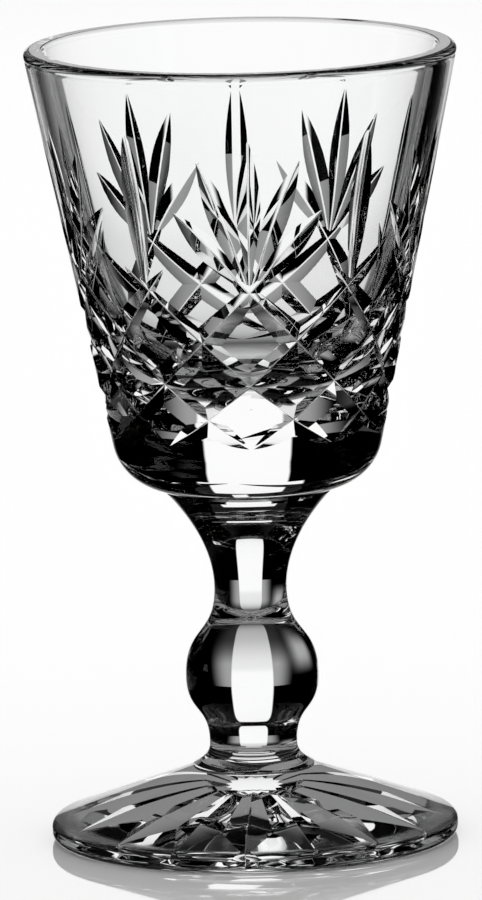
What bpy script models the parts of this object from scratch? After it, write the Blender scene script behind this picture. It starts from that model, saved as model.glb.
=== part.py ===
"""A cut liqueur glass: a blown bowl, a knopped stem and a star-cut foot, fused end to end.

Each piece is turned about +Z from an outline. The bowl is then cut with V-edged wheels into fans
of blades over a lattice of diamonds, and the underside of the foot into a star.
"""
import math

import bmesh
import bpy
from mathutils import Matrix, Vector

# Driving dimensions: metres, degrees and counts. Heights run up from the face a piece stands on.
SEAM = 0.0003                   # gap kept between two pieces that are fused on the real glass

FOOT_RADIUS = 0.0242
FOOT_EDGE_THICKNESS = 0.0023
FOOT_EDGE_ROUND = 0.0011
FOOT_HEIGHT = 0.0085            # from the table to the flat on which the stem stands
FOOT_SEAT_RADIUS = 0.0072
REST_RING_WIDTH = 0.0015        # flat ring that touches the table
FOOT_HOLLOW = 0.0012            # rise of the underside from the ring to the middle

STAR_RAYS = 16
FIRST_RAY_DEG = -3.5            # turn of the first ray from the glass's front
STAR_DEPTH = 0.0015
STAR_FLANK_DEG = 27.0           # slope of the V against the underside
STAR_INNER_RADIUS = 0.0022
STAR_RUN_IN = 0.0024            # length over which a ray falls to its full depth
STAR_POINT_LENGTH = 0.0074      # length over which it rises again to its tip
STAR_TIP_CLEARANCE = 0.0003     # from a ray's tip to the rest ring

COLLAR_LENGTH = 0.0026          # foot to lower neck
LOWER_SWELL_LENGTH = 0.0081     # lower neck to the knop's widest ring
UPPER_SWELL_LENGTH = 0.0106     # knop to upper neck
FLARE_LENGTH = 0.0115           # upper neck to bowl
LOWER_NECK_RADIUS = 0.0052
KNOP_RADIUS = 0.0079
NECK_RADIUS = 0.0043
COLLAR_POWER = 2.5              # how late the collar turns outwards
FLARE_POWER = 1.95              # how late the flare turns outwards
KNOP_FULLNESS = 0.56            # 0.4 is a soft swelling, 0.7 a tight ball

BOWL_HEIGHT = 0.0531
RIM_RADIUS = 0.0258
BOWL_TAPER_DEG = 11.7
BOWL_SEAT_RADIUS = 0.0097       # flat under the bowl on which the stem's flare is fused
UNDERSIDE_DEG = 20.4            # rise of the bowl's underside from its seat
BELLY_ROUND = 0.0065
RIM_WALL = 0.0023
LIP_OUTER_ROUND = 0.0006
LIP_INNER_ROUND = 0.0010
BASE_THICKNESS = 0.0117         # solid glass under the cavity
CAVITY_FLOOR_REACH = 0.0150     # how far the cavity's curve leans outwards along its floor
CAVITY_SIDE_REACH = 0.0345      # how far it leans down beside the bowl's side

FAN_COUNT = 10
FIRST_FAN_DEG = 1.6             # turn of the first fan from the glass's front
FAN_FOOT_HEIGHT = 0.0264        # where the blades of a fan meet, above the bowl's seat
CENTRE_BLADE_RISE = 0.0190
INNER_BLADE_RISE = 0.0164
INNER_BLADE_DEG = 15.0          # turn about the bowl from the fan's middle to the blade's tip
OUTER_BLADE_RISE = 0.0101
OUTER_BLADE_DEG = 23.5
BLADE_DEPTH = 0.00065
BLADE_FLANK_DEG = 26.0          # slope of the V against the bowl's side
BLADE_BELLY = 1.15              # above 1, a blade is deepest nearer its tip

LATTICE_ROWS = 4                # crossings that each groove passes below its fan
LATTICE_DROP = 0.0190           # fall of a groove from its fan to its lower tip
LATTICE_FIRST_DROP = 0.0063     # fall over the first crossing, the steepest
LATTICE_LEAD_IN = 0.45          # how far a groove starts above its fan, in crossings
LATTICE_DEPTH = 0.0010
LATTICE_FLANK_DEG = 28.0
LATTICE_FADE = 3                # how late a groove rises to its ends
SECOND_CUT_DEPTH = 0.00004      # cuts that lean left are made second, and this much deeper

BOWL_STEPS = 8 * FAN_COUNT      # facets round the bowl
FOOT_STEPS = 4 * STAR_RAYS      # facets round the foot
STEM_STEPS = 44                 # facets round the stem
ARC_STEP_DEG = 22.0             # facets along a rounded corner
BLADE_STATIONS = 7
LATTICE_STATIONS = 13
CAVITY_FACETS = 7               # along the cavity's curve, and so for the stem's stretches
COLLAR_FACETS = 4
SWELL_FACETS = 8
FLARE_FACETS = 7
CUTTER_LIFT = 0.0006            # how far a cutter stands out of the surface that it cuts
TIP_LIFT = 0.00004              # a cut's pointed ends run just clear of the surface
MERGE = 0.000005                # points nearer than this are one point

# Heights in the assembled glass.
STEM_FOOT_Z = FOOT_HEIGHT + SEAM
STEM_LENGTH = COLLAR_LENGTH + LOWER_SWELL_LENGTH + UPPER_SWELL_LENGTH + FLARE_LENGTH
BOWL_SEAT_Z = STEM_FOOT_Z + STEM_LENGTH + SEAM


def clear_scene():
    for item in list(bpy.data.objects):
        bpy.data.objects.remove(item, do_unlink=True)


def new_collection(name):
    group = bpy.data.collections.new(name)
    bpy.context.scene.collection.children.link(group)
    return group


def clear_glass(name, colour):
    """Polished colourless glass."""
    material = bpy.data.materials.new(name)
    material.use_nodes = True
    shader = material.node_tree.nodes["Principled BSDF"]
    shader.inputs["Base Color"].default_value = (*colour, 1.0)
    shader.inputs["Roughness"].default_value = 0.02
    shader.inputs["Metallic"].default_value = 0.0
    shader.inputs["Transmission Weight"].default_value = 1.0
    shader.inputs["IOR"].default_value = 1.54
    return material


def rounded_outline(corners):
    """Turn (radius, height, round) corners into outline points, with an arc at each round."""
    points = []
    for index, (radius, height, fillet) in enumerate(corners):
        here = Vector((radius, height))
        if fillet <= 0.0:
            points.append(here)
            continue
        back = (Vector(corners[index - 1][:2]) - here).normalized()
        ahead = (Vector(corners[index + 1][:2]) - here).normalized()
        half_angle = back.angle(ahead) / 2
        centre = here + (back + ahead).normalized() * (fillet / math.sin(half_angle))
        reach = fillet / math.tan(half_angle)
        start = here + back * reach - centre
        end = here + ahead * reach - centre
        sweep = math.atan2(start.cross(end), start.dot(end))
        arc_steps = math.ceil(math.degrees(abs(sweep)) / ARC_STEP_DEG)
        for step in range(arc_steps + 1):
            points.append(centre + Matrix.Rotation(sweep * step / arc_steps, 2) @ start)
    return points


def turned(name, outline, steps, base_z, group, material):
    """A solid of revolution from an outline that runs down its outer side to the axis."""
    mesh = bpy.data.meshes.new(name)
    edges = [(index, index + 1) for index in range(len(outline) - 1)]
    mesh.from_pydata([(point.x, 0.0, point.y) for point in outline], edges, [])
    piece = bpy.data.objects.new(name, mesh)
    piece.location.z = base_z
    group.objects.link(piece)
    screw = piece.modifiers.new("turn", "SCREW")
    screw.steps = steps
    screw.render_steps = steps
    screw.use_merge_vertices = True
    screw.merge_threshold = MERGE
    screw.use_smooth_shade = True
    mesh.materials.append(material)
    return piece


def foot_outline():
    ring_inner = FOOT_RADIUS - FOOT_EDGE_ROUND - REST_RING_WIDTH
    return rounded_outline([
        (0.0, FOOT_HEIGHT, 0.0),
        (FOOT_SEAT_RADIUS, FOOT_HEIGHT, 0.0),
        (FOOT_RADIUS, FOOT_EDGE_THICKNESS, FOOT_EDGE_ROUND),
        (FOOT_RADIUS, 0.0, FOOT_EDGE_ROUND),
        (ring_inner, 0.0, 0.0),
        (0.0, FOOT_HOLLOW, 0.0),
    ])


def cubic_curve(ends, steps):
    """Points along the curve from the first end to the last, drawn towards the two handles between."""
    points = []
    for step in range(steps + 1):
        share = step / steps
        rest = 1 - share
        weights = (rest ** 3, 3 * rest * rest * share, 3 * rest * share * share, share ** 3)
        radius = sum(weight * end[0] for weight, end in zip(weights, ends))
        height = sum(weight * end[1] for weight, end in zip(weights, ends))
        points.append(Vector((radius, height)))
    return points


def flare(small_radius, large_radius, length, power, steps):
    """Radii and heights of a trumpet mouth, from its narrow end up to its wide end."""
    spread = large_radius - small_radius
    shares = [step / steps for step in range(steps + 1)]
    return [Vector((small_radius + spread * share ** power, length * share)) for share in shares]


def swell(low_radius, high_radius, length, steps):
    """A smooth S between two rings, upright at both, as a cubic curve with upright handles."""
    handle = KNOP_FULLNESS * length
    ends = [(low_radius, 0.0), (low_radius, handle), (high_radius, length - handle), (high_radius, length)]
    return cubic_curve(ends, steps)


def stem_outline():
    """Collar, lower neck, knop, upper neck and flare, listed from the top down."""
    collar = flare(LOWER_NECK_RADIUS, FOOT_SEAT_RADIUS, COLLAR_LENGTH, COLLAR_POWER, COLLAR_FACETS)
    stretches = [
        [Vector((point.x, COLLAR_LENGTH - point.y)) for point in reversed(collar)],
        swell(LOWER_NECK_RADIUS, KNOP_RADIUS, LOWER_SWELL_LENGTH, SWELL_FACETS),
        swell(KNOP_RADIUS, NECK_RADIUS, UPPER_SWELL_LENGTH, SWELL_FACETS),
        flare(NECK_RADIUS, BOWL_SEAT_RADIUS, FLARE_LENGTH, FLARE_POWER, FLARE_FACETS),
    ]
    rising = [Vector((0.0, 0.0)), stretches[0][0]]
    base = 0.0
    for stretch in stretches:
        rising += [Vector((point.x, point.y + base)) for point in stretch[1:]]
        base = rising[-1].y
    rising.append(Vector((0.0, base)))
    return rising[::-1]


def bowl_side_radius(height):
    """Radius of the bowl's uncut side at a height above its seat."""
    return RIM_RADIUS - (BOWL_HEIGHT - height) * math.tan(math.radians(BOWL_TAPER_DEG))


def bowl_outline():
    side_slope = math.tan(math.radians(BOWL_TAPER_DEG))
    mouth_radius = RIM_RADIUS - RIM_WALL
    # The blown cavity is one curve, flat in the middle of its floor and beside the bowl's side at the mouth.
    side_handle = (mouth_radius - CAVITY_SIDE_REACH * side_slope, BOWL_HEIGHT - CAVITY_SIDE_REACH)
    floor_handle = (CAVITY_FLOOR_REACH, BASE_THICKNESS)
    ends = [(0.0, BASE_THICKNESS), floor_handle, side_handle, (mouth_radius, BOWL_HEIGHT)]
    cavity = cubic_curve(ends, CAVITY_FACETS)
    # The side's straight line and the underside's meet at the belly, which is then rounded.
    rise = math.tan(math.radians(UNDERSIDE_DEG))
    belly_height = (bowl_side_radius(0.0) - BOWL_SEAT_RADIUS) * rise / (1 - side_slope * rise)
    return rounded_outline([(*point, 0.0) for point in cavity[:-1]] + [
        (mouth_radius, BOWL_HEIGHT, LIP_INNER_ROUND),
        (RIM_RADIUS, BOWL_HEIGHT, LIP_OUTER_ROUND),
        (bowl_side_radius(belly_height), belly_height, BELLY_ROUND),
        (BOWL_SEAT_RADIUS, 0.0, 0.0),
        (0.0, 0.0, 0.0),
    ])


def wheel_cut(name, stations, flank_deg, group):
    """The glass that a V-edged wheel takes out along a path.

    A station is a point on the surface, the surface's outward normal there, and the cut's depth.
    Its section is a V that widens until it stands clear of the surface.
    """
    spread = 1.0 / math.tan(math.radians(flank_deg))
    mesh = bpy.data.meshes.new(name)
    shape = bmesh.new()
    sections = []
    for index, (point, normal, depth) in enumerate(stations):
        before = stations[max(index - 1, 0)][0]
        after = stations[min(index + 1, len(stations) - 1)][0]
        across = normal.cross(after - before).normalized()
        top = point + normal * CUTTER_LIFT
        half_width = (depth + CUTTER_LIFT) * spread
        corners = (top - across * half_width, top + across * half_width, point - normal * depth)
        sections.append([shape.verts.new(corner) for corner in corners])
    for near, far in zip(sections, sections[1:]):
        for corner in range(3):
            other = (corner + 1) % 3
            shape.faces.new((near[corner], near[other], far[other], far[corner]))
    shape.faces.new(sections[0][::-1])
    shape.faces.new(sections[-1])
    bmesh.ops.recalc_face_normals(shape, faces=shape.faces)
    bmesh.ops.triangulate(shape, faces=shape.faces)
    shape.to_mesh(mesh)
    shape.free()
    cutter = bpy.data.objects.new(name, mesh)
    cutter.hide_render = True
    cutter.display_type = "WIRE"
    group.objects.link(cutter)


def on_bowl(turn_deg, height):
    """A point on the bowl's side, and the outward normal there. Turn 0 faces -Y."""
    turn = math.radians(turn_deg)
    taper = math.radians(BOWL_TAPER_DEG)
    outward = Vector((math.sin(turn), -math.cos(turn), 0.0))
    point = outward * bowl_side_radius(height) + Vector((0.0, 0.0, BOWL_SEAT_Z + height))
    normal = outward * math.cos(taper) - Vector((0.0, 0.0, math.sin(taper)))
    return point, normal


def fan_turn(fan):
    return FIRST_FAN_DEG + fan * 360.0 / FAN_COUNT


def cut_fans(group):
    """Five leaf-shaped blades to a fan, spread from one foot, the middle one tallest."""
    blades = [
        (-OUTER_BLADE_DEG, OUTER_BLADE_RISE),
        (-INNER_BLADE_DEG, INNER_BLADE_RISE),
        (0.0, CENTRE_BLADE_RISE),
        (INNER_BLADE_DEG, INNER_BLADE_RISE),
        (OUTER_BLADE_DEG, OUTER_BLADE_RISE),
    ]
    for fan in range(FAN_COUNT):
        middle = fan_turn(fan)
        for place, (turn, rise) in enumerate(blades):
            full_depth = BLADE_DEPTH + (SECOND_CUT_DEPTH if turn < 0 else 0.0)
            stations = []
            for step in range(BLADE_STATIONS):
                share = step / (BLADE_STATIONS - 1)
                depth = full_depth * math.sin(math.pi * share ** BLADE_BELLY) - TIP_LIFT
                stations.append((*on_bowl(middle + turn * share, FAN_FOOT_HEIGHT + rise * share), depth))
            wheel_cut(f"blade_{fan}_{place}", stations, BLADE_FLANK_DEG, group)


def cut_lattice(group):
    """Grooves that fall from each fan's foot both ways round, and cross into diamonds."""
    half_pitch = 180.0 / FAN_COUNT
    # The fall eases from row to row: drop = steep * crossing - easing * crossing squared.
    easing = (LATTICE_ROWS * LATTICE_FIRST_DROP - LATTICE_DROP) / (LATTICE_ROWS ** 2 - LATTICE_ROWS)
    steep = LATTICE_FIRST_DROP + easing
    for fan in range(FAN_COUNT):
        for way, full_depth in ((-1, LATTICE_DEPTH + SECOND_CUT_DEPTH), (1, LATTICE_DEPTH)):
            stations = []
            for step in range(LATTICE_STATIONS):
                share = step / (LATTICE_STATIONS - 1)
                crossing = share * (LATTICE_ROWS + LATTICE_LEAD_IN) - LATTICE_LEAD_IN
                drop = steep * crossing - easing * crossing * crossing
                turn = fan_turn(fan) + way * half_pitch * crossing
                depth = full_depth * (1 - abs(2 * share - 1) ** LATTICE_FADE) - TIP_LIFT
                stations.append((*on_bowl(turn, FAN_FOOT_HEIGHT - drop), depth))
            side = "left" if way < 0 else "right"
            wheel_cut(f"groove_{fan}_{side}", stations, LATTICE_FLANK_DEG, group)


def cut_star(group):
    """Straight pointed rays under the foot, from its middle to the rest ring."""
    ring_inner = FOOT_RADIUS - FOOT_EDGE_ROUND - REST_RING_WIDTH
    tip_radius = ring_inner - STAR_TIP_CLEARANCE
    hollow = math.atan2(FOOT_HOLLOW, ring_inner)
    length = tip_radius - STAR_INNER_RADIUS
    depths = [(0.0, 0.0), (STAR_RUN_IN, STAR_DEPTH), (length - STAR_POINT_LENGTH, STAR_DEPTH), (length, 0.0)]
    for ray in range(STAR_RAYS):
        turn = math.radians(FIRST_RAY_DEG) + 2 * math.pi * ray / STAR_RAYS
        outward = Vector((math.sin(turn), -math.cos(turn), 0.0))
        normal = Vector((0.0, 0.0, -math.cos(hollow))) - outward * math.sin(hollow)
        stations = []
        for run, depth in depths:
            radius = STAR_INNER_RADIUS + run
            height = FOOT_HOLLOW * (1 - radius / ring_inner)
            stations.append((outward * radius + Vector((0.0, 0.0, height)), normal, depth - TIP_LIFT))
        wheel_cut(f"star_ray_{ray}", stations, STAR_FLANK_DEG, group)


def cut_with(piece, group):
    """Take every cutter in a collection out of a piece."""
    cut = piece.modifiers.new("cut", "BOOLEAN")
    cut.operation = "DIFFERENCE"
    cut.operand_type = "COLLECTION"
    cut.collection = group
    cut.solver = "EXACT"
    weld = piece.modifiers.new("weld", "WELD")
    weld.merge_threshold = MERGE


def build():
    clear_scene()
    glass = new_collection("liqueur_glass")
    bowl_cutters = new_collection("bowl_cutters")
    foot_cutters = new_collection("foot_cutters")

    stem_glass = clear_glass("stem_glass", (0.95, 0.96, 0.96))
    foot_glass = clear_glass("foot_glass", (0.94, 0.95, 0.95))
    bowl_glass = clear_glass("bowl_glass", (0.96, 0.97, 0.97))
    turned("stem", stem_outline(), STEM_STEPS, STEM_FOOT_Z, glass, stem_glass)
    foot = turned("foot", foot_outline(), FOOT_STEPS, 0.0, glass, foot_glass)
    bowl = turned("bowl", bowl_outline(), BOWL_STEPS, BOWL_SEAT_Z, glass, bowl_glass)

    cut_star(foot_cutters)
    cut_with(foot, foot_cutters)
    cut_fans(bowl_cutters)
    cut_lattice(bowl_cutters)
    cut_with(bowl, bowl_cutters)


build()
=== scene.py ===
# %% [markdown]
# A cut liqueur glass is three gathers of clear crystal, fused while hot: a blown bowl, a drawn stem with
# one knop, and a low foot. Cold, the bowl is cut on wheels into fans and leaves over a lattice of diamonds,
# and a star is cut under the foot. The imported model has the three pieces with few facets. Light bends at
# every facet of clear glass, so this lesson makes them again with surfaces fine enough to look into.

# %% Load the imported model
import math

import bmesh
import bpy
import numpy as np
from mathutils import Matrix, Vector


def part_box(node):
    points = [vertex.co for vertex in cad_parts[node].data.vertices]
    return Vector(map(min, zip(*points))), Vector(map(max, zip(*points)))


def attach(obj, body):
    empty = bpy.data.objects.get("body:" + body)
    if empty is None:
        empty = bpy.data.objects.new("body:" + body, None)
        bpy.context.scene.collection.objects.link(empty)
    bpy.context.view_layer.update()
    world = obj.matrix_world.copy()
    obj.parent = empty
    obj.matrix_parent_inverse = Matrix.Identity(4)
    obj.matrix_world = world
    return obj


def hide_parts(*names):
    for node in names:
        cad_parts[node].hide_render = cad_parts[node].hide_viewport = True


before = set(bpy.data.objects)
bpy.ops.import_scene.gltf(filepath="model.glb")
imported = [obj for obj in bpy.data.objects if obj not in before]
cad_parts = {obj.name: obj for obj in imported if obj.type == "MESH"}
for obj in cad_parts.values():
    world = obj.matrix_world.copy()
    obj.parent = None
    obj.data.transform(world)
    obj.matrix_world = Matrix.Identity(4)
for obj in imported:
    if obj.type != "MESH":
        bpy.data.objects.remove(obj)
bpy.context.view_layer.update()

scene = bpy.context.scene
scene.view_settings.view_transform = "Standard"

# %% [markdown]
# A long lens a little above the rim keeps the glass's sides almost straight in the picture. The rim's
# ellipse and the foot's are not equally open, and their two shapes together say how high and how far
# away the camera stood. A shift would do the framing too, but a turn and a small roll copy a held camera.

# %% Camera
IMAGE_HEIGHT = 900.0
SENSOR_WIDTH = 36.0
FOCAL_PIXELS = 12820.0
CAMERA_AWAY = 1.5
CAMERA_HEIGHT = 0.3015
CAMERA_ASIDE = -0.0008
CAMERA_PITCH_DEG = 9.647
CAMERA_ROLL_DEG = -1.16

lens = bpy.data.cameras.new("camera")
lens.sensor_fit = "AUTO"
lens.sensor_width = SENSOR_WIDTH
lens.lens = SENSOR_WIDTH * FOCAL_PIXELS / IMAGE_HEIGHT
camera = bpy.data.objects.new("camera", lens)
stand = Matrix.Translation((CAMERA_ASIDE, -CAMERA_AWAY, CAMERA_HEIGHT))
tilt = Matrix.Rotation(math.radians(90.0 - CAMERA_PITCH_DEG), 4, "X")
roll = Matrix.Rotation(math.radians(CAMERA_ROLL_DEG), 4, "Z")
camera.matrix_world = stand @ tilt @ roll
scene.collection.objects.link(camera)
scene.camera = camera
print("lens:", round(lens.lens, 1), "mm")

# %% [markdown]
# The studio and the crystal are both built from shader nodes. Long chains of node code are hard to read,
# so five short helpers say what a chain does: add a node, plug something into a socket, do arithmetic,
# step softly between two values, and pick one of two values.

# %% Shader helpers
def add_node(tree, kind, **settings):
    node = tree.nodes.new(kind)
    for name, value in settings.items():
        setattr(node, name, value)
    return node


def plug(tree, source, socket):
    """Link an output to an input, or write a plain value there."""
    if isinstance(source, bpy.types.NodeSocket):
        tree.links.new(source, socket)
    else:
        socket.default_value = source


def work(tree, operation, *values):
    """One step of arithmetic."""
    node = add_node(tree, "ShaderNodeMath", operation=operation)
    for socket, value in zip(node.inputs, values):
        plug(tree, value, socket)
    return node.outputs[0]


def soft_step(tree, value, start, end, low=0.0, high=1.0):
    """Ease from low to high while the value goes from start to end."""
    node = add_node(tree, "ShaderNodeMapRange", interpolation_type="SMOOTHSTEP")
    names = ("Value", "From Min", "From Max", "To Min", "To Max")
    for name, given in zip(names, (value, start, end, low, high)):
        plug(tree, given, node.inputs[name])
    return node.outputs["Result"]


def pick(tree, switch, when_off, when_on):
    node = add_node(tree, "ShaderNodeMix", data_type="FLOAT")
    sockets = (node.inputs[0], node.inputs[2], node.inputs[3])
    for socket, value in zip(sockets, (switch, when_off, when_on)):
        plug(tree, value, socket)
    return node.outputs[0]


print("shader helpers ready")

# %% [markdown]
# Clear glass shows only what stands round it. Glassware is photographed before one upright white panel
# in a dark room, so that edges and cuts draw themselves in black. Lamps and real boards could be placed,
# but lamps leave hot spots on every curve. Here the world holds the set by direction instead: rays that
# pass through the glass or mirror in it see the panel and the dark room, and all else is lit plain white.

# %% Directions in the studio
world = bpy.data.worlds.new("studio")
scene.world = world
world.use_nodes = True
studio = world.node_tree
studio.nodes.clear()
outlook = add_node(studio, "ShaderNodeTexCoord")
axes = add_node(studio, "ShaderNodeSeparateXYZ")
plug(studio, outlook.outputs["Generated"], axes.inputs[0])
TO_DEGREES = math.degrees(1.0)
rise = work(studio, "MULTIPLY", work(studio, "ARCSINE", axes.outputs["Z"]), TO_DEGREES)
bearing = work(studio, "ARCTAN2", axes.outputs["X"], axes.outputs["Y"])
heading = work(studio, "MULTIPLY", bearing, TO_DEGREES)
print("heading 0 looks along +Y, and rise is above the horizon")

# %% White panel
PANEL_HALF_DEG = 13.2
PANEL_LOW_DEG = -80.0
PANEL_TOP_DEG = 38.0
PANEL_LIGHT = 1.0
EDGE_DEG = 0.5
TABLE_EDGE_DEG = (-15.0, -10.0)
SHINE = 0.75
SHINE_DEG = (-62.0, -13.0)


def card(middle_deg, half_deg, low_deg, high_deg, light=1.0, soft_deg=EDGE_DEG):
    """A soft-edged patch of light round a heading, between two heights."""
    turned_by = work(studio, "WRAP", work(studio, "SUBTRACT", heading, middle_deg), 180.0, -180.0)
    aside = work(studio, "ABSOLUTE", turned_by)
    across = soft_step(studio, aside, half_deg + soft_deg, half_deg - soft_deg)
    above = soft_step(studio, rise, low_deg - soft_deg, low_deg + soft_deg)
    below = soft_step(studio, rise, high_deg + soft_deg, high_deg - soft_deg)
    patch = work(studio, "MULTIPLY", work(studio, "MULTIPLY", above, below), across)
    return work(studio, "MULTIPLY", patch, light)


panel = card(0.0, PANEL_HALF_DEG, PANEL_LOW_DEG, PANEL_TOP_DEG)
shine = soft_step(studio, rise, *SHINE_DEG, 0.0, SHINE)
stripe = work(studio, "MULTIPLY", panel, soft_step(studio, rise, *TABLE_EDGE_DEG, shine, PANEL_LIGHT))
print("panel:", 2 * PANEL_HALF_DEG, "degrees wide")

# %% [markdown]
# The panel stands behind the glass for one camera only. Small cards at other headings do the same for a
# viewer who walks round it, each just as high and wide as that view needs, so that the room stays dark.
# Mirrored rays get a fainter panel: most of what crystal mirrors in such a set is the dark camera side.

# %% What rays see
FAINT = 0.12
PLAIN_WHITE = 1.02
# Each card: heading, half width, lowest, highest, light, softness.
SIDE_CARDS = (
    (-90.0, 12.0, -11.0, 8.0, 1.0, 0.5),
    (135.0, 16.0, -30.0, -3.0, 1.0, 3.0),
    (-45.0, 12.0, -35.0, -15.0, 0.42, 8.0),
)
BOARD_CARDS = (
    (0.0, 1.6, 7.3, 12.0, 1.0, 0.15),
    (0.0, 8.0, -20.0, 5.5, 1.0, 0.5),
    (-90.0, 5.0, -1.0, 7.0, 1.0, 0.5),
    (135.0, 5.0, 11.0, 19.0, 1.0, 0.5),
    (-45.0, 5.0, 21.0, 29.0, 1.0, 0.5),
)


def brightest(patches):
    light = patches[0]
    for patch in patches[1:]:
        light = work(studio, "MAXIMUM", light, patch)
    return light


path = add_node(studio, "ShaderNodeLightPath")
through = path.outputs["Is Transmission Ray"]
mirrored = work(studio, "MULTIPLY", path.outputs["Is Glossy Ray"], work(studio, "SUBTRACT", 1.0, through))
seen_through = brightest([stripe] + [card(*values) for values in SIDE_CARDS])
faint_panel = work(studio, "MULTIPLY", stripe, FAINT)
seen_mirrored = brightest([faint_panel] + [card(*values) for values in BOARD_CARDS])
light = pick(studio, through, pick(studio, mirrored, PLAIN_WHITE, seen_mirrored), seen_through)
background = add_node(studio, "ShaderNodeBackground")
plug(studio, light, background.inputs["Color"])
plug(studio, background.outputs[0], add_node(studio, "ShaderNodeOutputWorld").inputs["Surface"])
print("cards:", len(SIDE_CARDS), "seen through the glass,", len(BOARD_CARDS), "mirrored")

# %% [markdown]
# A ray needs four bounces to cross both walls, and a few more inside a facet. Rays that wander longer in
# the glass only add grain, and stopping them leaves those corners as black as cut glass has them.

# %% Room for bounces
GLASS_BOUNCES = 12
CLEAR_BOUNCES = 24
scene.cycles.max_bounces = GLASS_BOUNCES
scene.cycles.transmission_bounces = GLASS_BOUNCES
scene.cycles.glossy_bounces = GLASS_BOUNCES
scene.cycles.transparent_max_bounces = CLEAR_BOUNCES
print("bounces:", GLASS_BOUNCES)

# %% [markdown]
# The glass stands on a white gloss board, which shows a soft mirror image of the foot and keeps its
# shadow. Through the glass the same board looks different: grey in front of the panel, dark at its sides,
# and ended where the panel stands. This pool of light lies on the board, so it is painted there by place,
# and cuts at different heights then see its far end shifted: blades are black above it and grey below.

# %% Gloss board
FLOOR_HALF = 4.0
FLOOR_DROP = 0.00005
BOARD_WHITE = (0.99, 0.99, 0.99, 1.0)
BOARD_ROUGHNESS = 0.06
COAT_ROUGHNESS = 0.02
floor_mesh = bpy.data.meshes.new("floor")
shape = bmesh.new()
bmesh.ops.create_grid(shape, x_segments=1, y_segments=1, size=FLOOR_HALF)
shape.to_mesh(floor_mesh)
shape.free()
floor = bpy.data.objects.new("floor", floor_mesh)
floor.location.z = -FLOOR_DROP
scene.collection.objects.link(floor)

board = bpy.data.materials.new("white gloss board")
board.use_nodes = True
floor_mesh.materials.append(board)
paint = board.node_tree
gloss = paint.nodes["Principled BSDF"]
gloss.inputs["Base Color"].default_value = BOARD_WHITE
gloss.inputs["Roughness"].default_value = BOARD_ROUGHNESS
gloss.inputs["Coat Weight"].default_value = 1.0
gloss.inputs["Coat Roughness"].default_value = COAT_ROUGHNESS
print("board:", 2 * FLOOR_HALF, "m")

# %% Pool of light on the board
POOL_END_Y = 0.52
POOL_NEAR = 0.01
POOL_FULL = 0.36
POOL_FAR_SHARE = 0.95
POOL_SIDE_DEG = (27.0, 13.5)
RISE_RUN = (0.03, 0.075)
FALL_RUN = (0.10, 0.40)
spot = add_node(paint, "ShaderNodeTexCoord").outputs["Object"]
spot_axes = add_node(paint, "ShaderNodeSeparateXYZ")
plug(paint, spot, spot_axes.inputs[0])
from_axis = add_node(paint, "ShaderNodeVectorMath", operation="LENGTH")
plug(paint, spot, from_axis.inputs[0])
away = from_axis.outputs["Value"]
round_axis = work(paint, "ARCTAN2", spot_axes.outputs["X"], spot_axes.outputs["Y"])
turn_off = work(paint, "ABSOLUTE", work(paint, "MULTIPLY", round_axis, TO_DEGREES))
sides = soft_step(paint, turn_off, *POOL_SIDE_DEG)
# The pool is also painted dark within a few centimetres of the axis: a painted shadow of the glass on the
# board.
level = soft_step(paint, away, *RISE_RUN, POOL_NEAR, POOL_FULL)
far_share = soft_step(paint, away, *FALL_RUN, 1.0, POOL_FAR_SHARE)
on_board = work(paint, "LESS_THAN", spot_axes.outputs["Y"], POOL_END_Y)
near_glow = work(paint, "MULTIPLY", sides, level)
pool = work(paint, "MULTIPLY", near_glow, work(paint, "MULTIPLY", far_share, on_board))
print("pool of light:", POOL_FULL)

# %% [markdown]
# Under the foot the board gets its light through the glass, and that is painted too: the star is seen against
# a painted grey patch of light, with painted shade that is darkest at the front, away from the panel.

# %% Painted patch of light under the foot
UNDER_FOOT = 0.0216
UNDER_LIGHT = 0.27
UNDER_FRONT = 0.01
FRONT_SHADE = (-0.003, 0.010)
SIDE_WEIGHT = 0.9
sideways = work(paint, "MULTIPLY", work(paint, "ABSOLUTE", spot_axes.outputs["X"]), SIDE_WEIGHT)
forward = work(paint, "MULTIPLY", spot_axes.outputs["Y"], -1.0)
to_front = work(paint, "SUBTRACT", forward, sideways)
painted_under_light = soft_step(paint, to_front, *FRONT_SHADE, UNDER_LIGHT, UNDER_FRONT)
under = work(paint, "LESS_THAN", away, UNDER_FOOT)
print("patch under the foot:", round(1000 * UNDER_FOOT, 1), "mm from the axis")

# %% Board seen through the glass
# The painted pool and patch glow as emission, and only rays that come through or off the glass see them.
glow = add_node(paint, "ShaderNodeEmission")
plug(paint, pick(paint, under, pool, painted_under_light), glow.inputs["Color"])
see_past = add_node(paint, "ShaderNodeMixShader")
plug(paint, under, see_past.inputs[0])
clear = add_node(paint, "ShaderNodeBsdfTransparent")
plug(paint, work(paint, "SUBTRACT", 1.0, pool), clear.inputs["Color"])
plug(paint, clear.outputs[0], see_past.inputs[1])
in_glass = add_node(paint, "ShaderNodeAddShader")
plug(paint, see_past.outputs[0], in_glass.inputs[0])
plug(paint, glow.outputs[0], in_glass.inputs[1])
path = add_node(paint, "ShaderNodeLightPath")
bent = work(paint, "MAXIMUM", path.outputs["Is Transmission Ray"], path.outputs["Is Glossy Ray"])
board_mix = add_node(paint, "ShaderNodeMixShader")
plug(paint, bent, board_mix.inputs[0])
plug(paint, gloss.outputs[0], board_mix.inputs[1])
plug(paint, in_glass.outputs[0], board_mix.inputs[2])
plug(paint, board_mix.outputs[0], paint.nodes["Material Output"].inputs["Surface"])
print("board nodes:", len(paint.nodes))

# %% [markdown]
# Real crystal is never perfect. Hot working leaves slow waves in its skin and faint cords of denser glass
# inside, the wheel leaves fine lines along each cut, and years of handling leave specks and a dull ring
# where the foot stands. Each of these is a shader node group, built once and placed in every crystal that
# has it, with its own values. They put out heights, colours and a roughness, which the shader then uses.

# %% Group helpers
SOCKETS = {"value": "NodeSocketFloat", "vector": "NodeSocketVector", "colour": "NodeSocketColor"}


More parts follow.
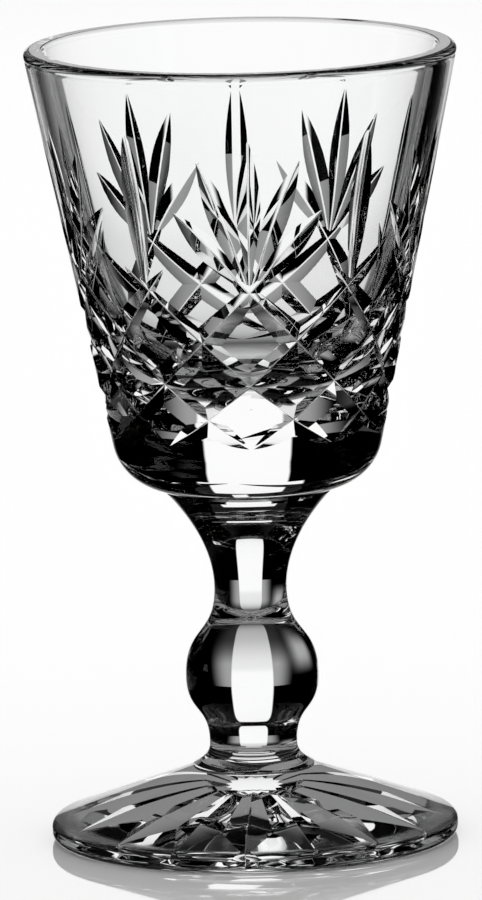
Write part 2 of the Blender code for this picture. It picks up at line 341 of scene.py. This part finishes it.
def new_group(name, inputs, output):
    """A node group with named sockets: its tree, its inputs by name, and the socket for its result."""
    group = bpy.data.node_groups.new(name, "ShaderNodeTree")
    for label, kind in inputs.items():
        group.interface.new_socket(name=label, in_out="INPUT", socket_type=SOCKETS[kind])
    label, kind = output
    group.interface.new_socket(name=label, in_out="OUTPUT", socket_type=SOCKETS[kind])
    given = add_node(group, "NodeGroupInput").outputs
    result = add_node(group, "NodeGroupOutput").inputs[0]
    return group, given, result


def stretched(tree, place, scales):
    """The place, scaled along each axis."""
    joined = add_node(tree, "ShaderNodeCombineXYZ")
    for socket, scale in zip(joined.inputs, scales):
        plug(tree, scale, socket)
    node = add_node(tree, "ShaderNodeVectorMath", operation="MULTIPLY")
    plug(tree, place, node.inputs[0])
    plug(tree, joined.outputs[0], node.inputs[1])
    return node.outputs[0]


def noise(tree, place, detail):
    node = add_node(tree, "ShaderNodeTexNoise")
    plug(tree, place, node.inputs["Vector"])
    node.inputs["Scale"].default_value = 1.0
    node.inputs["Detail"].default_value = detail
    return node.outputs[0]


print("group helpers ready")

# %% Polish waves
WAVE_DETAIL = 0.0
waves_group, given, result = new_group(
    "polish waves", {"Place": "vector", "Round": "value", "Up": "value"}, ("Height", "value"))
wave_place = stretched(waves_group, given["Place"], (given["Round"], given["Round"], given["Up"]))
plug(waves_group, noise(waves_group, wave_place, WAVE_DETAIL), result)
print(waves_group.name, "has", len(waves_group.nodes), "nodes")

# %% Wheel marks
MARK_DETAIL = 1.0
marks_group, given, result = new_group(
    "wheel marks", {"Place": "vector", "Along": "value", "Across": "value", "Cut": "value"},
    ("Height", "value"))
mark_place = stretched(marks_group, given["Place"], (given["Along"], given["Across"], 0.0))
lines = noise(marks_group, mark_place, MARK_DETAIL)
plug(marks_group, work(marks_group, "MULTIPLY", lines, given["Cut"]), result)
print(marks_group.name, "has", len(marks_group.nodes), "nodes")

# %% Cords in the glass
CORD_STEP = (0.4, 0.7)
CORD_DETAIL = 2.0
cords_group, given, result = new_group(
    "cords", {"Place": "vector", "Round": "value", "Up": "value", "Clear": "colour", "Dense": "colour"},
    ("Colour", "colour"))
cord_place = stretched(cords_group, given["Place"], (given["Round"], given["Round"], given["Up"]))
cord = soft_step(cords_group, noise(cords_group, cord_place, CORD_DETAIL), *CORD_STEP)
cord_mix = add_node(cords_group, "ShaderNodeMix", data_type="RGBA")
plug(cords_group, cord, cord_mix.inputs[0])
plug(cords_group, given["Clear"], cord_mix.inputs[6])
plug(cords_group, given["Dense"], cord_mix.inputs[7])
plug(cords_group, cord_mix.outputs[2], result)
print(cords_group.name, "has", len(cords_group.nodes), "nodes")

# %% Handling
SPECK_EDGE = 0.6
handling_group, given, result = new_group(
    "handling", {"Place": "vector", "Count": "value", "Speck": "value", "Worn": "value", "Dull": "value"},
    ("Roughness", "value"))
cells = add_node(handling_group, "ShaderNodeTexVoronoi")
plug(handling_group, given["Place"], cells.inputs["Vector"])
plug(handling_group, given["Count"], cells.inputs["Scale"])
inner = work(handling_group, "MULTIPLY", given["Speck"], SPECK_EDGE)
speck = soft_step(handling_group, cells.outputs["Distance"], given["Speck"], inner)
touched = work(handling_group, "MAXIMUM", speck, given["Worn"])
plug(handling_group, work(handling_group, "MULTIPLY", touched, given["Dull"]), result)
print(handling_group.name, "has", len(handling_group.nodes), "nodes")

# %% [markdown]
# The crystal itself is one shader: clear, polished and see-through, with the bending power of lead glass.
# Its mirror is tinted down to a quarter, a painted shade that stands for the dark camera side of the set,
# where nothing bright stands. The bowl, the stem and the foot are separate gathers, so each gets its own
# waves, cords and wear. Only the bowl and the foot went to the wheel, so only they have wheel marks.

# %% Crystal
BENDING = 1.54
# The mirror's tint: painted shade for the dark camera side of the set.
MIRROR_SHADE_SHARE = 0.25
CLEAR = (0.992, 0.994, 0.993, 1.0)
DENSE = (0.965, 0.972, 0.970, 1.0)
DULL = 0.3
MARK_ALONG = 110.0
MARK_ACROSS = 1500.0
MARK_DEPTH = 0.000001
WORN_SHARE = 0.25


def place_group(tree, group, values):
    node = add_node(tree, "ShaderNodeGroup", node_tree=group)
    for name, value in values.items():
        plug(tree, value, node.inputs[name])
    return node.outputs[0]


def bumped(tree, height, depth, skin=None):
    """Tilt the skin's normal by a height that stands for this depth of glass."""
    node = add_node(tree, "ShaderNodeBump")
    plug(tree, height, node.inputs["Height"])
    node.inputs["Distance"].default_value = depth
    if skin is not None:
        plug(tree, skin, node.inputs["Normal"])
    return node.outputs[0]


def wheel_marked(tree, skin):
    """Add the wheel's lines, which follow each cut, to the skin's normal."""
    cut_place = add_node(tree, "ShaderNodeAttribute", attribute_name="cut_place").outputs["Vector"]
    cut_face = add_node(tree, "ShaderNodeAttribute", attribute_name="cut_face").outputs["Fac"]
    values = {"Place": cut_place, "Along": MARK_ALONG, "Across": MARK_ACROSS, "Cut": cut_face}
    return bumped(tree, place_group(tree, marks_group, values), MARK_DEPTH, skin)


def crystal(name, waves, wave_depth, cords, specks, worn_below=None, wheel=True):
    """One gather's crystal. Waves and cords are per metre, round and up; specks are their count and size."""
    material = bpy.data.materials.new(name)
    material.use_nodes = True
    tree = material.node_tree
    shader = tree.nodes["Principled BSDF"]
    shader.inputs["Transmission Weight"].default_value = 1.0
    shader.inputs["IOR"].default_value = BENDING
    shader.inputs["Specular Tint"].default_value = (MIRROR_SHADE_SHARE, MIRROR_SHADE_SHARE, MIRROR_SHADE_SHARE, 1.0)
    place = add_node(tree, "ShaderNodeTexCoord").outputs["Object"]
    values = {"Place": place, "Round": cords[0], "Up": cords[1], "Clear": CLEAR, "Dense": DENSE}
    plug(tree, place_group(tree, cords_group, values), shader.inputs["Base Color"])
    worn = 0.0
    if worn_below is not None:
        height = add_node(tree, "ShaderNodeSeparateXYZ")
        plug(tree, place, height.inputs[0])
        worn = soft_step(tree, height.outputs["Z"], worn_below, worn_below * WORN_SHARE)
    values = {"Place": place, "Count": specks[0], "Speck": specks[1], "Worn": worn, "Dull": DULL}
    plug(tree, place_group(tree, handling_group, values), shader.inputs["Roughness"])
    values = {"Place": place, "Round": waves[0], "Up": waves[1]}
    skin = bumped(tree, place_group(tree, waves_group, values), wave_depth)
    if wheel:
        skin = wheel_marked(tree, skin)
    plug(tree, skin, shader.inputs["Normal"])
    return material


print("crystal bends light by", BENDING)

# %% Three gathers
# Each skin: waves per metre, their depth, cords per metre, and the specks' count and size.
BOWL_SKIN = ((120.0, 70.0), 0.00005, (60.0, 25.0), (400.0, 0.025))
STEM_SKIN = ((60.0, 220.0), 0.00003, (140.0, 18.0), (400.0, 0.03))
FOOT_SKIN = ((90.0, 90.0), 0.00005, (80.0, 80.0), (500.0, 0.03))
WORN_BELOW = 0.00012
bowl_crystal = crystal("bowl crystal", *BOWL_SKIN)
stem_crystal = crystal("stem crystal", *STEM_SKIN, wheel=False)
foot_crystal = crystal("foot crystal", *FOOT_SKIN, worn_below=WORN_BELOW)
print("crystals:", bowl_crystal.name, stem_crystal.name, foot_crystal.name)

# %% [markdown]
# Where two gathers are fused there is no surface at all: light passes from one into the other unbent.
# The pieces stay separate, closed meshes all the same, so the two flat faces at each joint carry a skin
# that cannot be seen.

# %% Fused joints
WELD_GAP = 0.00001
FLAT = 0.9999
bowl_low, bowl_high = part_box("bowl")
stem_low, stem_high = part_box("stem")
foot_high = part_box("foot")[1]
UPPER_WELD = (bowl_low.z + stem_high.z) / 2
LOWER_WELD = (stem_low.z + foot_high.z) / 2
weld_skin = bpy.data.materials.new("fused joint")
weld_skin.use_nodes = True
weld_skin.node_tree.nodes["Principled BSDF"].inputs["Alpha"].default_value = 0.0


def mark_welds(piece, heights):
    """Give a piece's flat fused faces their unseen skin."""
    marked = 0
    for face in piece.data.polygons:
        level = any(abs(face.center.z - height) < WELD_GAP for height in heights)
        if level and abs(face.normal.z) > FLAT:
            face.material_index = 1
            marked += 1
    print(piece.name, "fused faces:", marked)


print("joints at", round(LOWER_WELD, 5), "and", round(UPPER_WELD, 5))

# %% [markdown]
# All three pieces are round, so each is an outline turned about the axis. A Screw modifier would turn it
# as well, but a spin in a bmesh gives the mesh at once for cutting. Corners are true arcs. A guard point
# beside each arc keeps the arc's smooth shading from leaking into the straight side, which would bend
# light there as a wedge does.

# %% Turned shapes
MERGE = 0.0000001
ARC_STEP_DEG = 4.0
GUARD = 0.00002


def rounded_outline(corners):
    """Points through (radius, height, round) corners, with an arc and two guard points at each round."""
    points = []
    for index, (radius, height, fillet) in enumerate(corners):
        here = Vector((radius, height))
        if fillet <= 0.0:
            points.append(here)
            continue
        back = (Vector(corners[index - 1][:2]) - here).normalized()
        ahead = (Vector(corners[index + 1][:2]) - here).normalized()
        half_angle = back.angle(ahead) / 2
        centre = here + (back + ahead).normalized() * (fillet / math.sin(half_angle))
        reach = fillet / math.tan(half_angle)
        start = here + back * reach - centre
        end = here + ahead * reach - centre
        sweep = math.atan2(start.cross(end), start.dot(end))
        arc_steps = math.ceil(math.degrees(abs(sweep)) / ARC_STEP_DEG)
        points.append(here + back * (reach + GUARD))
        for step in range(arc_steps + 1):
            points.append(centre + Matrix.Rotation(sweep * step / arc_steps, 2) @ start)
        points.append(here + ahead * (reach + GUARD))
    return points


def cubic_curve(ends, steps):
    """Points from the first end to the last, drawn towards the two handles between them."""
    points = []
    for step in range(steps + 1):
        share = step / steps
        rest = 1 - share
        weights = (rest ** 3, 3 * rest * rest * share, 3 * rest * share * share, share ** 3)
        points.append(sum((Vector(end) * weight for end, weight in zip(ends, weights)), Vector((0.0, 0.0))))
    return points


def turned(name, outline, steps, materials):
    """Spin an outline of radius and height round the axis into a closed mesh."""
    shape = bmesh.new()
    line = [shape.verts.new((point.x, 0.0, point.y)) for point in outline]
    edges = [shape.edges.new(pair) for pair in zip(line, line[1:])]
    bmesh.ops.spin(shape, geom=line + edges, axis=(0, 0, 1), cent=(0, 0, 0), dvec=(0, 0, 0),
                   angle=2 * math.pi, steps=steps, use_merge=True)
    bmesh.ops.remove_doubles(shape, verts=shape.verts, dist=MERGE)
    bmesh.ops.recalc_face_normals(shape, faces=shape.faces)
    mesh = bpy.data.meshes.new(name)
    shape.to_mesh(mesh)
    shape.free()
    mesh.shade_smooth()
    for material in materials:
        mesh.materials.append(material)
    piece = bpy.data.objects.new(name, mesh)
    scene.collection.objects.link(piece)
    print(name, "turned:", len(mesh.polygons), "faces")
    return piece


print("arcs step by", ARC_STEP_DEG, "degrees")

# %% [markdown]
# The cutter presses the glass on the edge of a spinning wheel. The wheel is a V with a worn, rounded nose,
# and the cut is shallow at both ends. So each cut is a loft: the wheel's section, set across the path at
# many stations and sunk to the depth there. All the cuts of one kind are then taken out by a Boolean.
# Bump could fake the lines, but only real flanks bend light as cut glass does.

# %% Wheel cuts
CUTTER_LIFT = 0.0006
NOSE_STEPS = 5


def wheel_section(depth, flank_deg, nose):
    """Places and slopes across the wheel's edge, from one flank over its rounded nose to the other."""
    flank = math.radians(flank_deg)
    section = []
    for step in range(-NOSE_STEPS, NOSE_STEPS + 1):
        slope = flank * step / NOSE_STEPS
        section.append((nose * math.sin(slope), nose * (1 - math.cos(slope)), slope))
    top = depth + CUTTER_LIFT
    reach = section[-1][0] + (top - section[-1][1]) / math.tan(flank)
    return [(-reach, top, -flank)] + section + [(reach, top, flank)]


def set_wheel(shape, stations, flank_deg, nose):
    """Set the wheel across each station: rings of vertices, their normals, and their places on the cut."""
    rings, normals, places = [], [], []
    run = 0.0
    for index, (point, normal, depth) in enumerate(stations):
        before = stations[max(index - 1, 0)]
        after = stations[min(index + 1, len(stations) - 1)]
        along = (after[0] - after[1] * after[2]) - (before[0] - before[1] * before[2])
        across = normal.cross(along).normalized()
        run += (point - before[0]).length
        ring = []
        for aside, up, slope in wheel_section(depth, flank_deg, nose):
            ring.append(shape.verts.new(point + across * aside + normal * (up - depth)))
            leaning = across * math.cos(slope) + normal * math.sin(slope)
            normals.append(along.cross(leaning).normalized())
            places.append((run, aside, slope))
        rings.append(ring)
    return rings, normals, places


def cutter_object(name, strokes):
    """Loft the wheel along every stroke. The mesh keeps the normal that the wheel leaves on the glass."""
    shape = bmesh.new()
    normals, places = [], []
    for stations, flank_deg, nose in strokes:
        rings, ring_normals, ring_places = set_wheel(shape, stations, flank_deg, nose)
        normals += ring_normals
        places += ring_places
        corners = len(rings[0])
        for near, far in zip(rings, rings[1:]):
            for corner in range(corners):
                other = (corner + 1) % corners
                shape.faces.new((near[corner], near[other], far[other], far[corner]))
        shape.faces.new(rings[0][::-1])
        shape.faces.new(rings[-1])
    bmesh.ops.recalc_face_normals(shape, faces=shape.faces)
    bmesh.ops.triangulate(shape, faces=shape.faces)
    mesh = bpy.data.meshes.new(name)
    shape.to_mesh(mesh)
    shape.free()
    mesh.shade_smooth()
    for label, values in (("cut_normal", normals), ("cut_place", places)):
        record = mesh.attributes.new(label, "FLOAT_VECTOR", "CORNER")
        flat = np.array([values[loop.vertex_index] for loop in mesh.loops], dtype=np.float32)
        record.data.foreach_set("vector", flat.ravel())
    return bpy.data.objects.new(name, mesh)


print("wheel section:", 2 * NOSE_STEPS + 3, "points")

# %% Carving
def carve(piece, cutters):
    """Take the cutters out of a piece, one kind after another."""
    for cutter in cutters:
        scene.collection.objects.link(cutter)
        cut = piece.modifiers.new(cutter.name, "BOOLEAN")
        cut.operation = "DIFFERENCE"
        cut.solver = "MANIFOLD"
        cut.object = cutter
    graph = bpy.context.evaluated_depsgraph_get()
    carved = bpy.data.meshes.new_from_object(piece.evaluated_get(graph))
    piece.modifiers.clear()
    piece.data = carved
    for cutter in cutters:
        bpy.data.objects.remove(cutter)
    print(piece.name, "carved:", len(carved.polygons), "faces")


print("carving ready")

# %% [markdown]
# A Boolean leaves long thin triangles, and smooth shading over them would show as smears in the glass.
# The right normals are known, though: the wheel's own on every cut, and the cone's on the bowl's side.
# They are set corner by corner, which keeps the facets flat and the ridges between them sharp.

# %% Corners on the side
NEAR_SIDE = 0.00003
FACING = 0.9


def corner_vectors(source, name, count):
    values = np.empty(count * 3, dtype=np.float32)
    source.foreach_get(name, values)
    return values.reshape(-1, 3)


def side_corners(mesh, normals, side):
    """Which corners lie on the turned side, and the cone's normal at each."""
    count = len(mesh.loops)
    owner = np.empty(count, dtype=np.int32)
    mesh.loops.foreach_get("vertex_index", owner)
    spots = corner_vectors(mesh.vertices, "co", len(mesh.vertices))[owner]
    radius = np.hypot(spots[:, 0], spots[:, 1])
    cone_radius = side["radius"] - (side["top"] - spots[:, 2]) * math.tan(side["taper"])
    around = spots[:, :2] / np.maximum(radius, MERGE)[:, None]
    cone = np.column_stack([around * math.cos(side["taper"]), np.full(count, -math.sin(side["taper"]))])
    near = np.abs(radius - cone_radius) < NEAR_SIDE
    near &= (spots[:, 2] > side["from"] - NEAR_SIDE) & (spots[:, 2] < side["to"] + NEAR_SIDE)
    near &= (normals * cone).sum(axis=1) > FACING
    return near, cone


print("side found within", round(1000 * NEAR_SIDE, 3), "mm")

# %% True normals
# Corners off the cuts carry no wheel normal, so its length tells the two apart.
CUT_LENGTH = 0.1


def true_normals(piece, side=None):
    """Set the wheel's exact normals on the cuts, and the cone's on what is left of the side."""
    mesh = piece.data
    count = len(mesh.loops)
    normals = corner_vectors(mesh.corner_normals, "vector", count)
    wheel = corner_vectors(mesh.attributes["cut_normal"].data, "vector", count)
    length = np.linalg.norm(wheel, axis=1)
    cut = length > CUT_LENGTH
    if side is not None:
        near, cone = side_corners(mesh, normals, side)
        normals[near] = cone[near]
    normals[cut] = wheel[cut] / length[cut, None]
    mesh.normals_split_custom_set(normals)
    mesh.attributes.remove(mesh.attributes["cut_normal"])
    mask = mesh.attributes.new("cut_face", "FLOAT", "CORNER")
    mask.data.foreach_set("value", cut.astype(np.float32))
    print(piece.name, "corners on cuts:", int(cut.sum()), "of", count)


print("true normals ready")

# %% Standing for the solids
def dress(piece, node):
    """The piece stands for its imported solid, and moves with the glass."""
    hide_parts(node)
    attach(piece, "root")


print("solids to stand for:", len(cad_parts))

# %% [markdown]
# The bowl is a straight cone over a round belly. It was blown, so its inside is one smooth curve that
# leaves a heavy base, and its wall is thick for the cutter to work in. The lip was ground flat and then
# melted round at its outer edge only, and a fine crease under it shows where the melting stopped.

# %% Bowl outline
RIM_Z = bowl_high.z
RIM_RADIUS = 0.0258
TAPER = math.radians(11.7)
SEAT_RADIUS = 0.0097
UNDERSIDE = math.radians(20.4)
BELLY_ROUND = 0.0065
RIM_WALL = 0.0023
BASE_THICKNESS = 0.0117
CAVITY_FLOOR_REACH = 0.0150
CAVITY_SIDE_REACH = 0.0345
CAVITY_STEPS = 60
LIP_INNER_ROUND = 0.00015
LIP_BEAD = 0.0001
LIP_OUTER_ROUND = 0.00075
CREASE_DROP = 0.00115
CREASE_DEPTH = 0.00004
CREASE_ROUND = 0.0002
CREASE_END = 0.0016
BOWL_STEPS = 360


def side_radius(z):
    return RIM_RADIUS - (RIM_Z - z) * math.tan(TAPER)


def cavity_curve():
    """The blown inside, from the middle of its floor to the mouth."""
    floor_z = bowl_low.z + BASE_THICKNESS
    mouth = Vector((RIM_RADIUS - RIM_WALL, RIM_Z))
    side = Vector((math.tan(TAPER), 1.0))
    handles = ((CAVITY_FLOOR_REACH, floor_z), mouth - side * CAVITY_SIDE_REACH)
    return cubic_curve([(0.0, floor_z), *handles, mouth], CAVITY_STEPS)


def lip_corners():
    crease_z = RIM_Z - CREASE_DROP
    return [
        (RIM_RADIUS - RIM_WALL, RIM_Z, LIP_INNER_ROUND),
        (RIM_RADIUS + LIP_BEAD, RIM_Z, LIP_OUTER_ROUND),
        (side_radius(crease_z) - CREASE_DEPTH, crease_z, CREASE_ROUND),
        (side_radius(RIM_Z - CREASE_END), RIM_Z - CREASE_END, 0.0),
    ]


def bowl_outline():
    seat_z = bowl_low.z
    slope = math.tan(UNDERSIDE)
    belly = (side_radius(seat_z) - SEAT_RADIUS) * slope / (1 - math.tan(TAPER) * slope)
    inside = [(*point, 0.0) for point in cavity_curve()[:-1]]
    outside = [
        (side_radius(seat_z + belly), seat_z + belly, BELLY_ROUND),
        (SEAT_RADIUS, seat_z, 0.0),
        (SEAT_RADIUS, UPPER_WELD + WELD_GAP, 0.0),
        (0.0, UPPER_WELD + WELD_GAP, 0.0),
    ]
    return rounded_outline(inside + lip_corners() + outside)


bowl = turned("cut_bowl", bowl_outline(), BOWL_STEPS, [bowl_crystal, weld_skin])

# %% [markdown]
# Five fans stand round the bowl, each of five slim blades that meet at one foot, and between them stand
# five single leaves, cut with a broader, blunter wheel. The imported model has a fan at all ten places. Slope
# and nose of the wheel decide whether a cut looks black, grey or clear against the panel. The front fan
# gives every blade's turn and rise.

# %% Fans and leaves
FEET = 10
FIRST_FOOT_DEG = 1.6
FOOT_OF_FAN_Z = 0.0683
BLADE_DEPTH = 0.00062
BLADE_BELLY = 1.15
BLADE_STATIONS = 33
TIP_LIFT = 0.00004
# Each blade: turn from the fan's middle to its tip, rise, slope of the wheel's flanks.
BLADES = (
    (-23.5, 0.0101, 22.4),
    (-15.0, 0.0164, 21.6),
    (0.0, 0.0190, 22.0),
    (15.0, 0.0164, 21.6),
    (23.5, 0.0101, 22.4),
)
BLADE_NOSE = 0.0004
LEAF = (0.0, 0.0194, 26.0)
LEAF_NOSE = 0.0016


def on_side(turn_deg, z):
    """A point on the bowl's side and the outward normal there. Turn 0 faces the camera."""
    turn = math.radians(turn_deg)
    outward = Vector((math.sin(turn), -math.cos(turn), 0.0))
    point = outward * side_radius(z) + Vector((0.0, 0.0, z))
    return point, outward * math.cos(TAPER) - Vector((0.0, 0.0, math.sin(TAPER)))


def foot_turn(foot_index):
    return FIRST_FOOT_DEG + foot_index * 360.0 / FEET


print("blades in a fan:", len(BLADES))

# %% Blades
def blade_path(foot_index, turn, height):
    stations = []
    for step in range(BLADE_STATIONS):
        share = step / (BLADE_STATIONS - 1)
        depth = BLADE_DEPTH * math.sin(math.pi * share ** BLADE_BELLY) - TIP_LIFT
        spot_turn = foot_turn(foot_index) + turn * share
        stations.append((*on_side(spot_turn, FOOT_OF_FAN_Z + height * share), depth))
    return stations


def strokes_at(feet, nose, turn, height, flank):
    """The same cut at every one of these feet."""
    return [(blade_path(foot_index, turn, height), flank, nose) for foot_index in feet]


fan_feet = range(0, FEET, 2)
leaf_feet = range(1, FEET, 2)
bowl_cutters = [cutter_object("leaves", strokes_at(leaf_feet, LEAF_NOSE, *LEAF))]
for place, blade in enumerate(BLADES):
    bowl_cutters.append(cutter_object(f"blades_{place}", strokes_at(fan_feet, BLADE_NOSE, *blade)))
print("blades:", len(fan_feet) * len(BLADES), "leaves:", len(leaf_feet))

# %% [markdown]
# Below the fans two sets of grooves wind down round the bowl, one each way, and cross into diamonds. The
# bowl narrows downwards, so the fall of a groove eases from row to row to keep the diamonds alike.

# %% Lattice
LATTICE_ROWS = 4
LATTICE_DROP = 0.0190
LATTICE_FIRST_DROP = 0.0063
LATTICE_LEAD_IN = 0.45
LATTICE_DEPTH = 0.0010
LATTICE_FLANK_DEG = 27.0
LATTICE_NOSE = 0.00025
LATTICE_FADE = 3
LATTICE_STATIONS = 49


def groove_path(foot_index, way):
    half_pitch = 180.0 / FEET
    easing = (LATTICE_ROWS * LATTICE_FIRST_DROP - LATTICE_DROP) / (LATTICE_ROWS ** 2 - LATTICE_ROWS)
    steep = LATTICE_FIRST_DROP + easing
    stations = []
    for step in range(LATTICE_STATIONS):
        share = step / (LATTICE_STATIONS - 1)
        crossing = share * (LATTICE_ROWS + LATTICE_LEAD_IN) - LATTICE_LEAD_IN
        drop = steep * crossing - easing * crossing * crossing
        turn = foot_turn(foot_index) + way * half_pitch * crossing
        depth = LATTICE_DEPTH * (1 - abs(2 * share - 1) ** LATTICE_FADE) - TIP_LIFT
        stations.append((*on_side(turn, FOOT_OF_FAN_Z - drop), depth))
    return stations


for way in (-1, 1):
    strokes = [(groove_path(index, way), LATTICE_FLANK_DEG, LATTICE_NOSE) for index in range(FEET)]
    bowl_cutters.append(cutter_object(f"grooves_{way}", strokes))
print("grooves:", 2 * FEET)

# %% Cut bowl
BELLY_TOP_Z = 0.0490
BOWL_CREASE_DEG = 8.0
carve(bowl, bowl_cutters)
mark_welds(bowl, [UPPER_WELD + WELD_GAP])
bowl.data.set_sharp_from_angle(angle=math.radians(BOWL_CREASE_DEG))
bowl_side = {"radius": RIM_RADIUS, "top": RIM_Z, "taper": TAPER}
bowl_side.update({"from": BELLY_TOP_Z, "to": RIM_Z - CREASE_END})
true_normals(bowl, bowl_side)
dress(bowl, "bowl")

# %% [markdown]
# The stem was drawn and shaped while hot: a flare, a slim neck, one round knop, a second neck and a small
# collar. Its outline is smooth curves end to end, upright at each neck and at the knop's widest ring.
# Nothing is cut here, so turning the outline finishes it.

# %% Stem outline
STEM_STEPS = 240
COLLAR_LENGTH = 0.0026
LOWER_SWELL_LENGTH = 0.0081
UPPER_SWELL_LENGTH = 0.0106
FLARE_LENGTH = 0.0115
LOWER_NECK_RADIUS = 0.0052
KNOP_RADIUS = 0.0079
NECK_RADIUS = 0.0043
FOOT_SEAT_RADIUS = 0.0072
COLLAR_POWER = 2.5
FLARE_POWER = 1.95
KNOP_FULLNESS = 0.56
COLLAR_STEPS = 20
STRETCH_STEPS = 40


def flare(small, large, length, power, steps):
    """A trumpet mouth, from its narrow end up to its wide end."""
    shares = [step / steps for step in range(steps + 1)]
    return [Vector((small + (large - small) * share ** power, length * share)) for share in shares]


def swell(low, high, length):
    """A smooth S between two rings, upright at both."""
    handle = KNOP_FULLNESS * length
    ends = [(low, 0.0), (low, handle), (high, length - handle), (high, length)]
    return cubic_curve(ends, STRETCH_STEPS)


def stem_outline():
    collar = flare(LOWER_NECK_RADIUS, FOOT_SEAT_RADIUS, COLLAR_LENGTH, COLLAR_POWER, COLLAR_STEPS)
    stretches = [
        [Vector((point.x, COLLAR_LENGTH - point.y)) for point in reversed(collar)],
        swell(LOWER_NECK_RADIUS, KNOP_RADIUS, LOWER_SWELL_LENGTH),
        swell(KNOP_RADIUS, NECK_RADIUS, UPPER_SWELL_LENGTH),
        flare(NECK_RADIUS, SEAT_RADIUS, FLARE_LENGTH, FLARE_POWER, STRETCH_STEPS),
    ]
    foot_end = LOWER_WELD + WELD_GAP
    bowl_end = UPPER_WELD - WELD_GAP
    base = stem_low.z
    rising = [Vector((0.0, foot_end)), Vector((FOOT_SEAT_RADIUS, foot_end)), Vector((FOOT_SEAT_RADIUS, base))]
    for stretch in stretches:
        rising += [Vector((point.x, point.y + base)) for point in stretch[1:]]
        base = rising[-1].y
    rising += [Vector((SEAT_RADIUS, bowl_end)), Vector((0.0, bowl_end))]
    return rising[::-1]


print("stem outline:", len(stem_outline()), "points")

# %% Turned stem
STEM_CREASE_DEG = 25.0
stem = turned("knop_stem", stem_outline(), STEM_STEPS, [stem_crystal, weld_skin])
stem.data.set_sharp_from_angle(angle=math.radians(STEM_CREASE_DEG))
mark_welds(stem, [UPPER_WELD - WELD_GAP, LOWER_WELD + WELD_GAP])
dress(stem, "stem")

# %% [markdown]
# The foot is a low cone with a rounded edge. It stands on a narrow ring, and inside the ring its underside
# is slightly hollow. There the cutter made a star of sixteen straight rays, which end in points at the
# ring. Seen from above through the cone, every ray becomes a pair of long leaves.

# %% Foot
FOOT_STEPS = 320
FOOT_RADIUS = 0.0242
FOOT_EDGE_THICKNESS = 0.0023
FOOT_EDGE_ROUND = 0.0011
REST_RING_WIDTH = 0.0015
FOOT_HOLLOW = 0.0012
RING_INNER = FOOT_RADIUS - FOOT_EDGE_ROUND - REST_RING_WIDTH


def foot_outline():
    weld_z = LOWER_WELD - WELD_GAP
    return rounded_outline([
        (0.0, weld_z, 0.0),
        (FOOT_SEAT_RADIUS, weld_z, 0.0),
        (FOOT_SEAT_RADIUS, foot_high.z, 0.0),
        (FOOT_RADIUS, FOOT_EDGE_THICKNESS, FOOT_EDGE_ROUND),
        (FOOT_RADIUS, 0.0, FOOT_EDGE_ROUND),
        (RING_INNER, 0.0, 0.0),
        (0.0, FOOT_HOLLOW, 0.0),
    ])


foot = turned("star_foot", foot_outline(), FOOT_STEPS, [foot_crystal, weld_skin])

# %% Star
STAR_RAYS = 16
FIRST_RAY_DEG = -3.5
STAR_DEPTH = 0.0015
STAR_FLANK_DEG = 27.0
STAR_NOSE = 0.0001
STAR_INNER_RADIUS = 0.0022
STAR_RUN_IN = 0.0024
STAR_POINT_LENGTH = 0.0074
STAR_STATIONS = 33
FOOT_CREASE_DEG = 14.0


def star_path(ray):
    hollow = math.atan2(FOOT_HOLLOW, RING_INNER)
    turn = math.radians(FIRST_RAY_DEG) + 2 * math.pi * ray / STAR_RAYS
    outward = Vector((math.sin(turn), -math.cos(turn), 0.0))
    normal = Vector((0.0, 0.0, -math.cos(hollow))) - outward * math.sin(hollow)
    length = RING_INNER - STAR_INNER_RADIUS
    stations = []
    for step in range(STAR_STATIONS):
        run = length * step / (STAR_STATIONS - 1)
        radius = STAR_INNER_RADIUS + run
        height = FOOT_HOLLOW * (1 - radius / RING_INNER)
        depth = STAR_DEPTH * min(1.0, run / STAR_RUN_IN, (length - run) / STAR_POINT_LENGTH) - TIP_LIFT
        stations.append((outward * radius + Vector((0.0, 0.0, height)), normal, depth))
    return stations


star_cutters = []
for half in (0, 1):
    strokes = [(star_path(ray), STAR_FLANK_DEG, STAR_NOSE) for ray in range(half, STAR_RAYS, 2)]
    star_cutters.append(cutter_object(f"star_{half}", strokes))
carve(foot, star_cutters)
mark_welds(foot, [LOWER_WELD - WELD_GAP])
foot.data.set_sharp_from_angle(angle=math.radians(FOOT_CREASE_DEG))
true_normals(foot)
dress(foot, "foot")

# %% [markdown]
# The pieces took their heights from the imported model, so both should fill the same box. The script
# writes down each piece's triangle count.

# %% Sizes
for piece in (bowl, stem, foot):
    triangles = sum(len(face.vertices) - 2 for face in piece.data.polygons)
    print(piece.name, triangles, "triangles")
